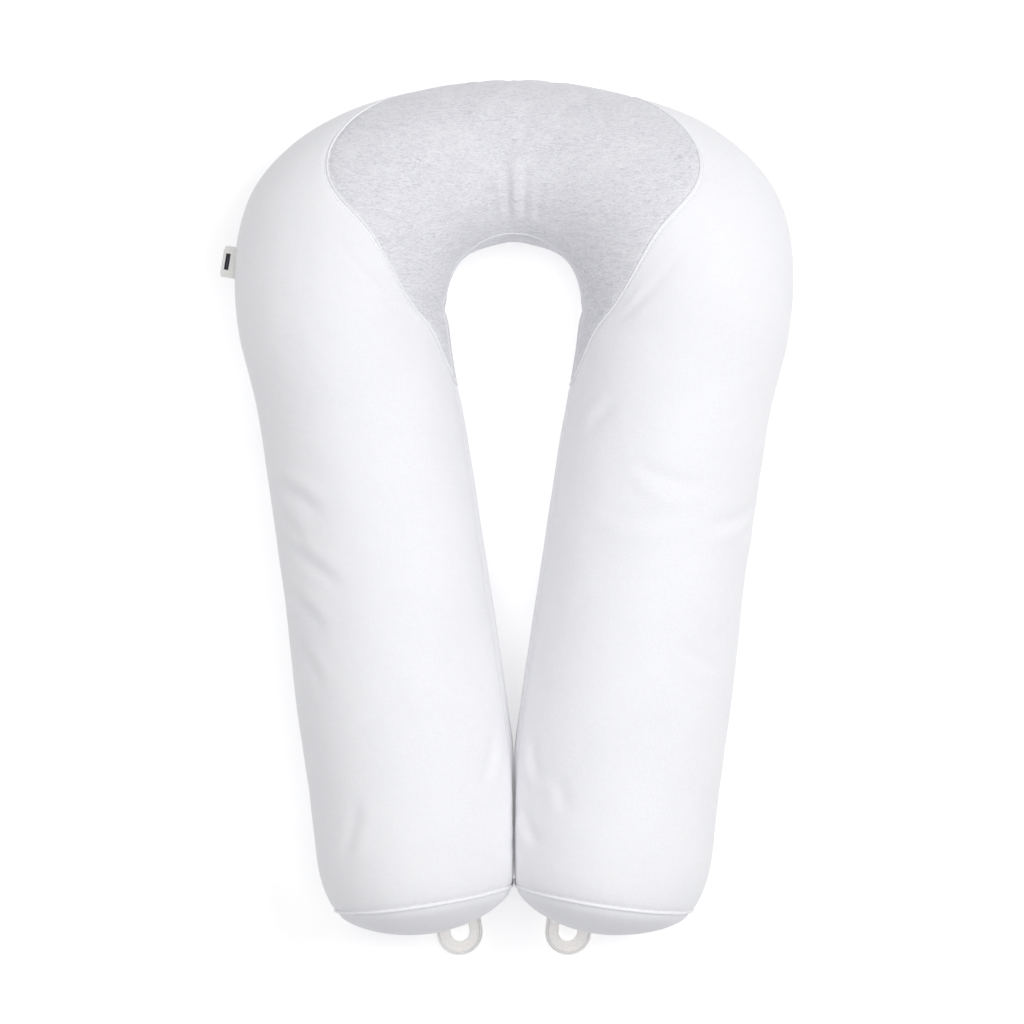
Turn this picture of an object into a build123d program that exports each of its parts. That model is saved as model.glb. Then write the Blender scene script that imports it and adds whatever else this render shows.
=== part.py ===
"""Long U-shaped nursing pillow: a stuffed tube bent into a crown and two legs that meet at the feet.

A zipped outer cover of one grey centre panel, two white sleeves and two domed end caps goes round a
lined, stuffed inner pillow. Silicone loops hang from fabric tabs at the feet.

Millimetres, +Z up. The origin is on the resting plane, under the middle of the crown. +Y points out
over the crown, the legs run towards -Y, and the label is on the -X side.
The left half is modelled, and the right half is its mirror image.
"""

import os
from math import cos, radians, sin, sqrt

from build123d import *

# ---- driving dimensions of the stuffed tube ----
ARCH_RADIUS = 64.0  # inside of the crown's arch, in plan
CROWN_WIDTH = 151.5  # tube width at the middle of the crown
SHOULDER_SWELL = 58.0  # how much wider the tube is at the shoulder
SHOULDER_ANGLE = 72.0  # where round the arch the tube is widest
ARC_END = 98.5  # the arch turns this far, so each leg toes in by ARC_END - 90
LEG_LENGTH = 543.0  # straight leg, from the arch to the seam of the end cap
CAP_DEPTH = 36.0  # how far the end cap bulges past its seam
HEIGHT_RATIO = 0.90  # tube height over tube width
FLAT_RATIO = 0.40  # share of the tube width that lies flat on the surface
LEG_GAP = 1.5  # between the two legs where they lie against each other

# ---- layers, as insets from the cover's outer face ----
COVER = 1.5
LINER_OUT = 1.8
LINER_IN = 2.8
FILL_OUT = 3.1
PIPING_PROUD = 1.2
PIPING_CLEAR = 0.3
PIPING_WIDTH = 2.4
SEAM_CLEAR = 0.35  # between the crown's pieces and a leg's pieces, each side of the seam

# ---- the slanted seam between centre panel and left sleeve, in plan ----
SEAM_TOP = (-176.0, 49.5)  # just outside the tube's outer wall, and the leg's pivot
SEAM_POINTS = ((-173.0, -5.0), (-125.0, -92.0), (-83.0, -154.0))
SEAM_FOOT = (-40.0, -240.0)  # inside the U, past the inner wall

# ---- zipper in the outer wall of the left sleeve ----
ZIP_START = 60.0  # from the arch's end, along the leg
ZIP_LENGTH = 400.0
ZIP_TURN = -30.0  # how far round the section it lies, below the widest line
TAPE_WIDTH = 4.7
TAPE_THICK = 0.9
TAPE_SINK = 0.45  # face of the tapes below the face of the cover
TEETH_WIDTH = 3.6
TEETH_THICK = 1.2
STOP_LENGTH = 3.0
STOP_THICK = 1.5
SLIDER_SIZE = (12.0, 8.5, 2.2)
SLIDER_CLEAR = 0.35
POST_SIZE = (3.0, 1.2, 3.6)
POST_SPACING = 4.8
PIN_RADIUS = 0.8
PIN_CLEAR = 0.08
PIN_HEIGHT = 2.15  # pin centre above the slider's plate
PULL_LENGTH = 24.0
PULL_WIDTH = 7.0
PULL_THICK = 1.6
NECK_WIDTH = 3.0
NECK_RADIUS = 1.7
PULL_HOLE = 1.8

# ---- labels in the left sleeve's outer seam ----
LABEL_ANGLE = 81.0
LABEL_SIZE = (14.0, 30.0, 1.2)
CARE_LABEL_SIZE = (12.0, 26.0, 0.8)
LABEL_SUNK = 0.7
LABEL_RISE = 2.0  # above the widest line

# ---- end loops ----
LOOP_OFFSET = 19.0  # from the leg's middle towards the other leg
LOOP_REACH = 46.0  # from the end seam to the middle of the loop's eye
LOOP_OUT = 22.0
LOOP_EYE = 9.2
LOOP_THICK = 4.0
LOOP_CORNER = 9.0
LOOP_ROUND = 1.3
LOOP_SIDE = 18.0  # from the middle of the eye to the bar
LOOP_LIFT = 4.0  # middle of the loop above the resting plane
BAR_RADIUS = 2.0
TAB_WIDTH = 14.0
TAB_CLEAR = 0.35
TAB_WRAP = 1.1
TAB_START = 4.0
TAB_FLOOR = 0.4

# ---- what follows from them ----
ARCH_Y = -(ARCH_RADIUS + CROWN_WIDTH / 2)
ARCH_CENTRE = Vector(0, ARCH_Y, 0)
ARC_STEPS = 7
CAP_SHARES = (0.0, 0.35, 0.62, 0.82, 0.94)
FLAT_DROP = sqrt(1 - FLAT_RATIO**2)
REACH = 1000.0  # longer than anything here, for trimming


def radial(angle):
    """The direction out of the arch's centre, turned from +Y towards -X."""
    return Vector(-sin(radians(angle)), cos(radians(angle)), 0)


def section_plane(angle, along=0.0):
    """A plane across the tube: local X is out of the arch, local Y is up."""
    out = radial(angle)
    ahead = Vector(-cos(radians(angle)), -sin(radians(angle)), 0)
    return Plane(origin=ARCH_CENTRE + ahead * along, x_dir=out, z_dir=-ahead)


def tube_width(angle):
    """Width of the tube in plan, swelling from the crown to the shoulder."""
    return CROWN_WIDTH + SHOULDER_SWELL * sin(radians(90 * angle / SHOULDER_ANGLE)) ** 2


def half_height(width):
    """Half height of the full ellipse whose foot is cut off by the resting plane."""
    return width * HEIGHT_RATIO / (1 + FLAT_DROP)


LEG_WIDTH = tube_width(ARC_END)
LEG_HALF_HEIGHT = half_height(LEG_WIDTH)
LEG_MID = ARCH_RADIUS + LEG_WIDTH / 2
LEG_MID_Z = LEG_HALF_HEIGHT * FLAT_DROP


def section(plane, width, inset, floor, scale=1.0):
    """One cross-section of the tube: an ellipse with a flat foot, scaled about its middle."""
    high = half_height(width)
    middle = high * FLAT_DROP
    with BuildSketch(plane) as profile:
        with Locations((ARCH_RADIUS + width / 2, middle)):
            Ellipse(scale * width / 2 - inset, scale * high - inset)
        with Locations((ARCH_RADIUS + width / 2, middle * (1 - scale) + floor)):
            Rectangle(2 * REACH, REACH, align=(Align.CENTER, Align.MAX), mode=Mode.SUBTRACT)
    return profile.sketch


def arch_tube(inset, floor, mode=Mode.ADD):
    """The left half of the crown, from the plane of symmetry to the top of the leg."""
    angles = [ARC_END * step / (ARC_STEPS - 1) for step in range(ARC_STEPS)]
    loft([section(section_plane(a), tube_width(a), inset, floor) for a in angles], mode=mode)


def leg_tube(inset, floor, length=LEG_LENGTH, mode=Mode.ADD):
    """The straight left leg."""
    extrude(section(section_plane(ARC_END), LEG_WIDTH, inset, floor), -length, mode=mode)


def cap_dome(inset, floor, mode=Mode.ADD):
    """The bulging end of the left leg."""
    slices = []
    for share in CAP_SHARES:
        plane = section_plane(ARC_END, LEG_LENGTH + share * (CAP_DEPTH - inset))
        slices.append(section(plane, LEG_WIDTH, inset, floor, sqrt(1 - share**2)))
    loft(slices, mode=mode)


def seam_region(side, shift, mode=Mode.INTERSECT):
    """Everything on one side of the slanted seam: side -1 is the leg's, +1 is the crown's."""
    move = Vector(shift, shift * 0.3, 0)
    top = Vector(*SEAM_TOP) + move
    foot = Vector(*SEAM_FOOT) + move
    far = [Vector(REACH, foot.Y), Vector(REACH, REACH)]
    if side < 0:
        far = [Vector(REACH, foot.Y), Vector(REACH, -REACH), Vector(-REACH, -REACH), Vector(-REACH, REACH)]
    with BuildSketch(Plane.XY.offset(-10)) as region:
        with BuildLine():
            Spline(top, *[Vector(*p) + move for p in SEAM_POINTS], foot)
            Polyline(foot, *far, Vector(top.X, REACH), top)
        make_face()
    extrude(region.sketch, REACH / 2, mode=mode)


def keep_left(inset):
    """Flattens the leg against the other leg."""
    split(bisect_by=Plane.YZ.offset(-LEG_GAP / 2 - inset), keep=Keep.BOTTOM)


def half_pillow(inset, past_seam=0.0, domed=True):
    """The whole left half of the stuffed shape at one layer, with or without its domed end."""
    with BuildPart() as half:
        leg_tube(inset, inset, LEG_LENGTH + past_seam)
        if domed:
            cap_dome(inset, inset)
        keep_left(inset)
        arch_tube(inset, inset)
    return half.part


def finish(builder, name):
    """Labels a piece and writes it."""
    builder.part.label = name
    export_step(builder.part, f"parts/{name}.step")


os.makedirs("parts", exist_ok=True)
hollow = half_pillow(COVER, past_seam=1.0, domed=False)

# ---- outer cover: the centre panel, one piece over the whole crown ----
with BuildPart() as centre_panel:
    add(half_pillow(0, domed=False))
    add(hollow, mode=Mode.SUBTRACT)
    seam_region(1, SEAM_CLEAR)
    mirror(about=Plane.YZ)
finish(centre_panel, "centre_panel")

# ---- outer cover: one sleeve, before its zipper and label openings ----
with BuildPart() as sleeve:
    add(half_pillow(0, domed=False))
    add(hollow, mode=Mode.SUBTRACT)
    seam_region(-1, -SEAM_CLEAR)

# ---- outer cover: the domed end cap ----
with BuildPart() as cap_hollow:
    cap_dome(COVER, COVER)
    keep_left(COVER)

with BuildPart() as end_cap:
    cap_dome(0, 0)
    keep_left(0)
    add(cap_hollow.part, mode=Mode.SUBTRACT)

# ---- piping on the slanted seam, pressed flat where the pillow rests ----
with BuildPart() as centre_piping:
    arch_tube(-PIPING_PROUD, 0)
    leg_tube(-PIPING_PROUD, 0)
    seam_region(1, -PIPING_WIDTH / 2)
    seam_region(-1, PIPING_WIDTH / 2)
    arch_tube(-PIPING_CLEAR, -PIPING_WIDTH, mode=Mode.SUBTRACT)
    leg_tube(-PIPING_CLEAR, -PIPING_WIDTH, mode=Mode.SUBTRACT)

# ---- piping on the end seam ----
end_seam = section_plane(ARC_END, LEG_LENGTH)
with BuildPart() as end_piping:
    extrude(section(end_seam, LEG_WIDTH, -PIPING_PROUD, 0), PIPING_WIDTH / 2, both=True)
    rim = section(end_seam, LEG_WIDTH, -PIPING_CLEAR, -PIPING_WIDTH)
    extrude(rim, PIPING_WIDTH, both=True, mode=Mode.SUBTRACT)
    keep_left(0)

# ---- inner pillow: the lining's crown and leg, sewn along the same slanted seam ----
liner_hollow = half_pillow(LINER_IN)

with BuildPart() as liner_crown:
    add(half_pillow(LINER_OUT, domed=False))
    add(liner_hollow, mode=Mode.SUBTRACT)
    seam_region(1, SEAM_CLEAR)
    mirror(about=Plane.YZ)
finish(liner_crown, "liner_crown")

with BuildPart() as liner_leg:
    add(half_pillow(LINER_OUT))
    add(liner_hollow, mode=Mode.SUBTRACT)
    seam_region(-1, -SEAM_CLEAR)

# ---- inner pillow: the stuffing ----
filling = half_pillow(FILL_OUT)

with BuildPart() as filling_crown:
    add(filling)
    seam_region(1, SEAM_CLEAR)
    mirror(about=Plane.YZ)
finish(filling_crown, "filling_crown")

with BuildPart() as filling_leg:
    add(filling)
    seam_region(-1, -SEAM_CLEAR)

# ---- silicone loop at the foot of the leg: local X points off the end, Z is up ----
ahead = -end_seam.z_dir
foot_point = end_seam.from_local_coords(Vector(LEG_MID - LOOP_OFFSET, LOOP_LIFT, 0))
loop_plane = Plane(origin=foot_point + ahead * LOOP_REACH, x_dir=ahead, z_dir=(0, 0, 1))
bar_plane = Plane(
    origin=foot_point + ahead * (LOOP_REACH - LOOP_SIDE), x_dir=ahead, z_dir=loop_plane.y_dir
)

with BuildPart() as end_loop:
    with BuildSketch(loop_plane) as outline:
        Circle(LOOP_OUT)
        Rectangle(LOOP_SIDE + BAR_RADIUS, 2 * LOOP_OUT, align=(Align.MAX, Align.CENTER))
        fillet(outline.vertices().group_by(Axis.X)[0], LOOP_CORNER)
        Circle(LOOP_EYE, mode=Mode.SUBTRACT)
        Rectangle(REACH, 2 * LOOP_EYE, align=(Align.MAX, Align.CENTER), mode=Mode.SUBTRACT)
    extrude(amount=LOOP_THICK / 2, both=True)
    fillet(end_loop.faces().filter_by(Axis.Z).edges(), LOOP_ROUND)
    with BuildSketch(bar_plane):
        Circle(BAR_RADIUS)
    extrude(amount=LOOP_EYE + LOOP_ROUND, both=True)

# ---- fabric tab: sewn in under the end cap, with an eye round the loop's bar ----
with BuildPart() as loop_tab:
    with BuildSketch(bar_plane):
        Circle(BAR_RADIUS + TAB_CLEAR + TAB_WRAP)
        with Locations((TAB_START - LOOP_REACH + LOOP_SIDE, LOOP_LIFT - TAB_FLOOR)):
            Rectangle(LOOP_REACH - LOOP_SIDE - TAB_START, 2 * TAB_WRAP, align=(Align.MIN, Align.MAX))
        Circle(BAR_RADIUS + TAB_CLEAR, mode=Mode.SUBTRACT)
    extrude(amount=TAB_WIDTH / 2, both=True)
    cap_dome(0, 0, mode=Mode.SUBTRACT)

# ---- the right half's pieces mirror the left half's; zipper and labels are on the left only ----
PAIRS = (
    (end_cap, "end_cap"),
    (centre_piping, "centre_piping"),
    (end_piping, "end_piping"),
    (liner_leg, "liner_leg"),
    (filling_leg, "filling_leg"),
    (end_loop, "end_loop"),
    (loop_tab, "loop_tab"),
)
for left, name in PAIRS:
    finish(left, name + "_left")

for left, name in ((sleeve, "sleeve"), *PAIRS):
    with BuildPart() as right:
        mirror(left.part, about=Plane.YZ)
    finish(right, name + "_right")

# ---- zipper: local X runs down the leg, Y across the tapes, Z out of the wall ----
turn = radians(ZIP_TURN)
wall_point = Vector(
    LEG_MID + LEG_WIDTH / 2 * cos(turn), LEG_MID_Z + LEG_HALF_HEIGHT * sin(turn), 0
)
lean = Vector(cos(turn) / LEG_WIDTH, sin(turn) / (2 * LEG_HALF_HEIGHT), 0).normalized()
zip_start = section_plane(ARC_END, ZIP_START)
zip_plane = Plane(
    origin=zip_start.from_local_coords(wall_point),
    x_dir=ahead,
    z_dir=zip_start.x_dir * lean.X + Vector(0, 0, 1) * lean.Y,
)
TAPE_FOOT = -TAPE_SINK - TAPE_THICK
OPENING_WIDTH = TEETH_WIDTH + 2 * TAPE_WIDTH

with BuildPart() as zip_opening:
    with BuildSketch(zip_plane.offset(-COVER * 1.1)):
        Rectangle(ZIP_LENGTH, OPENING_WIDTH, align=(Align.MIN, Align.CENTER))
    extrude(amount=2 * COVER)

for name, side in (("upper", -1), ("lower", 1)):
    with BuildPart() as zip_tape:
        with BuildSketch(zip_plane.offset(TAPE_FOOT)):
            with Locations((0, side * (TEETH_WIDTH + TAPE_WIDTH) / 2)):
                Rectangle(ZIP_LENGTH, TAPE_WIDTH, align=(Align.MIN, Align.CENTER))
        extrude(amount=TAPE_THICK)
    finish(zip_tape, f"zip_tape_{name}")

with BuildPart() as zip_teeth:
    with BuildSketch(zip_plane.offset(TAPE_FOOT)):
        with Locations((STOP_LENGTH, 0)):
            Rectangle(ZIP_LENGTH - 2 * STOP_LENGTH, TEETH_WIDTH, align=(Align.MIN, Align.CENTER))
    extrude(amount=TEETH_THICK)
finish(zip_teeth, "zip_teeth")

for name, along in (("top", 0), ("bottom", ZIP_LENGTH - STOP_LENGTH)):
    with BuildPart() as zip_stop:
        with BuildSketch(zip_plane.offset(TAPE_FOOT)):
            with Locations((along, 0)):
                Rectangle(STOP_LENGTH, TEETH_WIDTH, align=(Align.MIN, Align.CENTER))
        extrude(amount=STOP_THICK)
    finish(zip_stop, f"zip_stop_{name}")

slider_length, slider_width, slider_thick = SLIDER_SIZE
post_length, post_width, post_height = POST_SIZE
slider_middle = STOP_LENGTH + slider_length / 2
slider_top = SLIDER_CLEAR + slider_thick
pin_plane = Plane(
    origin=zip_plane.from_local_coords(Vector(slider_middle, 0, slider_top + PIN_HEIGHT)),
    x_dir=ahead,
    z_dir=zip_plane.y_dir,
)

with BuildPart() as zip_slider:
    with BuildSketch(zip_plane.offset(SLIDER_CLEAR)):
        with Locations((slider_middle, 0)):
            RectangleRounded(slider_length, slider_width, slider_width / 3)
    extrude(amount=slider_thick)
    with BuildSketch(zip_plane.offset(slider_top)):
        with Locations((slider_middle, POST_SPACING / 2), (slider_middle, -POST_SPACING / 2)):
            Rectangle(post_length, post_width)
    extrude(amount=post_height)
    with BuildSketch(pin_plane):
        Circle(PIN_RADIUS)
    extrude(amount=POST_SPACING / 2, both=True)
finish(zip_slider, "zip_slider")

with BuildPart() as zip_pull:
    with BuildSketch(pin_plane):
        Circle(NECK_RADIUS)
        Rectangle(post_length + NECK_RADIUS, PULL_THICK, align=(Align.MIN, Align.CENTER))
    extrude(amount=NECK_WIDTH / 2, both=True)
    with BuildSketch(Plane(origin=pin_plane.origin, x_dir=ahead, z_dir=zip_plane.z_dir)):
        with Locations((post_length, 0)):
            Rectangle(PULL_LENGTH - post_length - PULL_WIDTH / 2, PULL_WIDTH, align=(Align.MIN, Align.CENTER))
        with Locations((PULL_LENGTH - PULL_WIDTH / 2, 0)):
            Circle(PULL_WIDTH / 2)
            Circle(PULL_HOLE, mode=Mode.SUBTRACT)
    extrude(amount=PULL_THICK / 2, both=True)
    with BuildSketch(pin_plane):
        Circle(PIN_RADIUS + PIN_CLEAR)
    extrude(amount=NECK_WIDTH, both=True, mode=Mode.SUBTRACT)
finish(zip_pull, "zip_pull")

# ---- folded labels, sewn into the left sleeve's outer seam ----
label_plane = section_plane(LABEL_ANGLE)
label_root = ARCH_RADIUS + tube_width(LABEL_ANGLE) - LABEL_SUNK
label_height = half_height(tube_width(LABEL_ANGLE)) * FLAT_DROP + LABEL_RISE
labels = {}
for name, size, top in (
    ("brand_label", LABEL_SIZE, label_height + LABEL_SIZE[2]),
    ("care_label", CARE_LABEL_SIZE, label_height),
):
    with BuildPart() as label:
        with BuildSketch(label_plane):
            with Locations((label_root, top)):
                Rectangle(size[0], size[2], align=(Align.MIN, Align.MAX))
        extrude(amount=size[1] / 2, both=True)
    labels[name] = label
    finish(label, name)

# ---- the left sleeve, opened for the zipper and the labels ----
with BuildPart() as sleeve_left:
    add(sleeve.part)
    add(zip_opening.part, mode=Mode.SUBTRACT)
    for label in labels.values():
        add(label.part, mode=Mode.SUBTRACT)
finish(sleeve_left, "sleeve_left")
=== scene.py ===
"""Looks of a long U-shaped nursing pillow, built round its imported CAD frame. Metres, +Z up.

The stuffed tube is one quad grid whose rows follow the sewn seams. Cloth simulation inflates it on
the floor, and it is then cut along those seams into the cover's panels. Piping, stitches, labels,
loops and the zipper are separate pieces on top.
"""

import math

import bpy
import numpy as np
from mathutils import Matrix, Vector, noise
from mathutils.bvhtree import BVHTree


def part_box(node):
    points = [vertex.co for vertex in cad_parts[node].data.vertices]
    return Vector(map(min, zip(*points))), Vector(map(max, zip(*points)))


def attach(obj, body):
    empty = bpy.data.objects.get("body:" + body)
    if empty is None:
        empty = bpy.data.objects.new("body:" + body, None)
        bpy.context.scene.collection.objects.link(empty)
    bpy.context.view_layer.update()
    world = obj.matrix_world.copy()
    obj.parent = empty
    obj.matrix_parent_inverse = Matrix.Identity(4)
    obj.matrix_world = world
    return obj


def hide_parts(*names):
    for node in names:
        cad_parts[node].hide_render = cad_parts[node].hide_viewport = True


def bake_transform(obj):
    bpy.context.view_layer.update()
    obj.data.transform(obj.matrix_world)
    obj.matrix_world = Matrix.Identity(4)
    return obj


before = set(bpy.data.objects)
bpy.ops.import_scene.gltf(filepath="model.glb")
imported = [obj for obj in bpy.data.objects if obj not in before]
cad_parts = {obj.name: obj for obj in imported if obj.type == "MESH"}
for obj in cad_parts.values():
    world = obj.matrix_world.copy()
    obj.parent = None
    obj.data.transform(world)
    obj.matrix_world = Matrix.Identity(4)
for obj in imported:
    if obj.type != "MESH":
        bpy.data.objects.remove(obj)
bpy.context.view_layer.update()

# ---- the stuffed tube, as in the CAD frame ----
ARCH_RADIUS = 0.064
CROWN_WIDTH = 0.1515
SHOULDER_SWELL = 0.058
SHOULDER_ANGLE = 72.0
ARC_END = 98.5
ARC_LENGTH = 0.2741  # along the tube's middle line, from the crown's middle to the leg
WIDTH_BLUR = 0.075  # the width is averaged over this length on either side
LEG_LENGTH = 0.543
CAP_DEPTH = 0.0352
CAP_POINTED = 0.70  # 0.5 is an elliptical dome, and more is a flatter cone
CAP_MIDDLE = 0.48  # height of the dome's point, as a share of the end's height
END_TAPER = 0.010  # the sleeve draws in this far where the end cap is sewn to it
TAPER_REACH = 0.018
HEIGHT_RATIO = 0.90
FLAT_RATIO = 0.40
FLAT_DROP = math.sqrt(1 - FLAT_RATIO**2)
ARCH_Y = -(ARCH_RADIUS + CROWN_WIDTH / 2)
END = ARC_LENGTH + LEG_LENGTH

# the centre panel's seam: its middle, its slant from the outer to the inner wall, and two bows
SEAM_MIDDLE, SEAM_SLANT, SEAM_WAIST, SEAM_BOW = 0.190, 0.129, 0.020, 0.098

# ---- where the stuffed outline departs from that tube ----
# (metres, its middle in degrees round the arch, its spread in degrees)
ARCH_CORNER = (0.0056, 44, 25)  # the opening's top is squarer than a half circle
ARCH_RISE = (0.0024, 0, 15)
SHOULDER_OUT = (0.0078, 67, 15)  # the shoulders are squarer than the arc
SHOULDER_DRAW = (-0.0043, 27, 14)  # and the crown's outer wall draws in beside them
# the lower leg's swell, and the (start, length of growth) of each end of it, in metres below the arch
CALF_OUT, CALF_OUT_STARTS, CALF_OUT_ENDS = 0.0044, (0.22, 0.15), (0.49, 0.06)
CALF_IN, CALF_IN_STARTS = 0.0030, (0.03, 0.10)
LEGS_MEET = (0.1, 0.1)
LEG_GAP = 0.0003  # left between the walls of the two legs where they touch
FOOT_SPREAD = 0.35  # share of the squeeze between the feet that pushes them apart
SQUEEZE_ROUND = 0.006
WALL_ROUND = 0.0012  # rounds the edges of the flat walls where the legs touch

# ---- the zipper ----
ZIP_TURN = math.radians(-30)  # how far below the outer wall it runs
ZIP_BELOW = 0.060  # metres from the arch to its top end
ZIP_HALF = 0.200
ZIP_MIDDLE = ARC_LENGTH + ZIP_BELOW + ZIP_HALF
ZIP_SLOT = 0.0066  # half the width of its opening
ZIP_RECESS = 0.0017
ZIP_LIP = 0.0032  # width of the cloth that rises from the opening's edge
OVER_ZIP = (0.04, 0.4)  # start and length of a swell's growth above it, as sines of the turn
FREE_OF_ZIP = (0.008, 0.03)  # and of the cloth's freedom to move, in metres from it

# ---- the grid: columns round the tube, rows along it ----
COLUMNS = 96
SLEEVE_ROWS = 84
CROWN_ROWS = 72
CAP_SIDE = COLUMNS // 4
SEAM_BUNCH = 0.45  # rows stand closer together next to a seam
CROWN_BUNCH = 0.1

CROWN, LEFT, RIGHT, CAP_LEFT, CAP_RIGHT = range(5)


def smoothstep(t):
    t = np.clip(t, 0.0, 1.0)
    return t * t * (3 - 2 * t)


def grown(value, start, length):
    """0 up to start, and 1 from a length after it."""
    return smoothstep((value - start) / length)


def bulge(value, amount, middle, spread):
    """amount at the middle, and next to nothing two spreads away from it."""
    return amount * np.exp(-(((value - middle) / spread) ** 2))


def soft_limit(d, round_off=0.005):
    """d where it is positive, and nearly 0 where it is negative, with a rounded corner."""
    return 0.5 * (d + np.sqrt(d * d + round_off**2))


def tube_width(s):
    """Width of the tube in plan at s metres along it from the middle of the crown."""
    angle = np.minimum(np.abs(s) / ARC_LENGTH, 1.0) * ARC_END
    return CROWN_WIDTH + SHOULDER_SWELL * np.sin(np.radians(90 * angle / SHOULDER_ANGLE)) ** 2


def smooth_width(s):
    """That width, with the corner where the arch meets the straight leg rounded off."""
    offsets = np.linspace(-WIDTH_BLUR, WIDTH_BLUR, 15)
    return sum(tube_width(np.abs(s) + o) for o in offsets) / len(offsets)


def slanted_seam(phi):
    """How far along the tube the seam of the centre panel lies, at each place round it."""
    c = np.cos(phi)
    bows = SEAM_WAIST * np.cos(2 * phi), SEAM_BOW * c * np.sin(phi) ** 2
    return SEAM_MIDDLE - SEAM_SLANT * c + bows[0] + bows[1]


def left_point(along, phi):
    """Points on the left half's surface. phi 0 is the outer wall, and a quarter turn is the top."""
    angle = np.radians(np.minimum(along / ARC_LENGTH, 1.0) * ARC_END)
    beyond = np.maximum(along - ARC_LENGTH, 0.0)
    drawn_in = END_TAPER * np.exp(-(END - along) / TAPER_REACH)
    width = smooth_width(along)
    half_high = width * HEIGHT_RATIO / (1 + FLAT_DROP)
    mid_line = ARCH_RADIUS + width / 2

    degrees = np.degrees(angle)
    hollow = bulge(degrees, *ARCH_CORNER) + bulge(degrees, *ARCH_RISE)
    square = bulge(degrees, *SHOULDER_OUT) + bulge(degrees, *SHOULDER_DRAW)
    calf_out = CALF_OUT * grown(beyond, *CALF_OUT_STARTS) * (1 - grown(beyond, *CALF_OUT_ENDS))
    calf_in = CALF_IN * grown(beyond, *CALF_IN_STARTS)

    def plan(across):
        x = -np.sin(angle) * across - np.cos(angle) * beyond
        y = ARCH_Y + np.cos(angle) * across - np.sin(angle) * beyond
        return x, y

    inner_x = plan(mid_line - width / 2)[0]
    squeeze = soft_limit(inner_x + LEG_GAP / 2, SQUEEZE_ROUND) * grown(beyond, *LEGS_MEET)
    over_zip = smoothstep((np.sin(phi) - math.sin(ZIP_TURN) - OVER_ZIP[0]) / OVER_ZIP[1])
    c = np.cos(phi)
    swell = np.where(c > 0, calf_out * over_zip + square, calf_in) * c * np.abs(c) + hollow * smoothstep(-c)
    x, y = plan(mid_line + (width / 2 - drawn_in) * c + swell)
    x = x - FOOT_SPREAD * squeeze * over_zip
    legs_apart = -LEG_GAP / 2 - soft_limit(-LEG_GAP / 2 - x, WALL_ROUND)
    x = np.where(beyond > LEGS_MEET[0], legs_apart, x)
    z = soft_limit(half_high * FLAT_DROP + (half_high - drawn_in) * np.sin(phi))
    return np.stack([x, y, z], -1)


def tube_point(s, phi):
    """Points on the whole tube. s is positive on the left half and negative on the right half."""
    point = left_point(np.abs(s), phi)
    point[..., 0] *= np.where(s >= 0, 1.0, -1.0)
    return point


# ---- the grid of the whole skin ----
def bunched(count, amount):
    """Steps from 0 to 1 that are shorter at both ends."""
    u = np.linspace(0, 1, count + 1)
    return (u - amount * np.sin(2 * np.pi * u) / (2 * np.pi))[:, None]


def cap_grid():
    """The square grid of a cap as (ring radius, angle) at each of its points, and its quads."""
    half = CAP_SIDE // 2
    radius, turn = np.zeros((CAP_SIDE + 1,) * 2), np.zeros((CAP_SIDE + 1,) * 2)
    for p in range(CAP_SIDE + 1):
        for q in range(CAP_SIDE + 1):
            a, b = (p - half) / half, (q - half) / half
            if a == 0 and b == 0:
                continue
            if abs(a) >= abs(b):
                turn[p, q] = math.pi / 4 * b / a + (math.pi if a < 0 else 0)
            else:
                turn[p, q] = math.pi / 2 - math.pi / 4 * a / b + (math.pi if b < 0 else 0)
            radius[p, q] = max(abs(a), abs(b))
    return radius, turn


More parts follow.
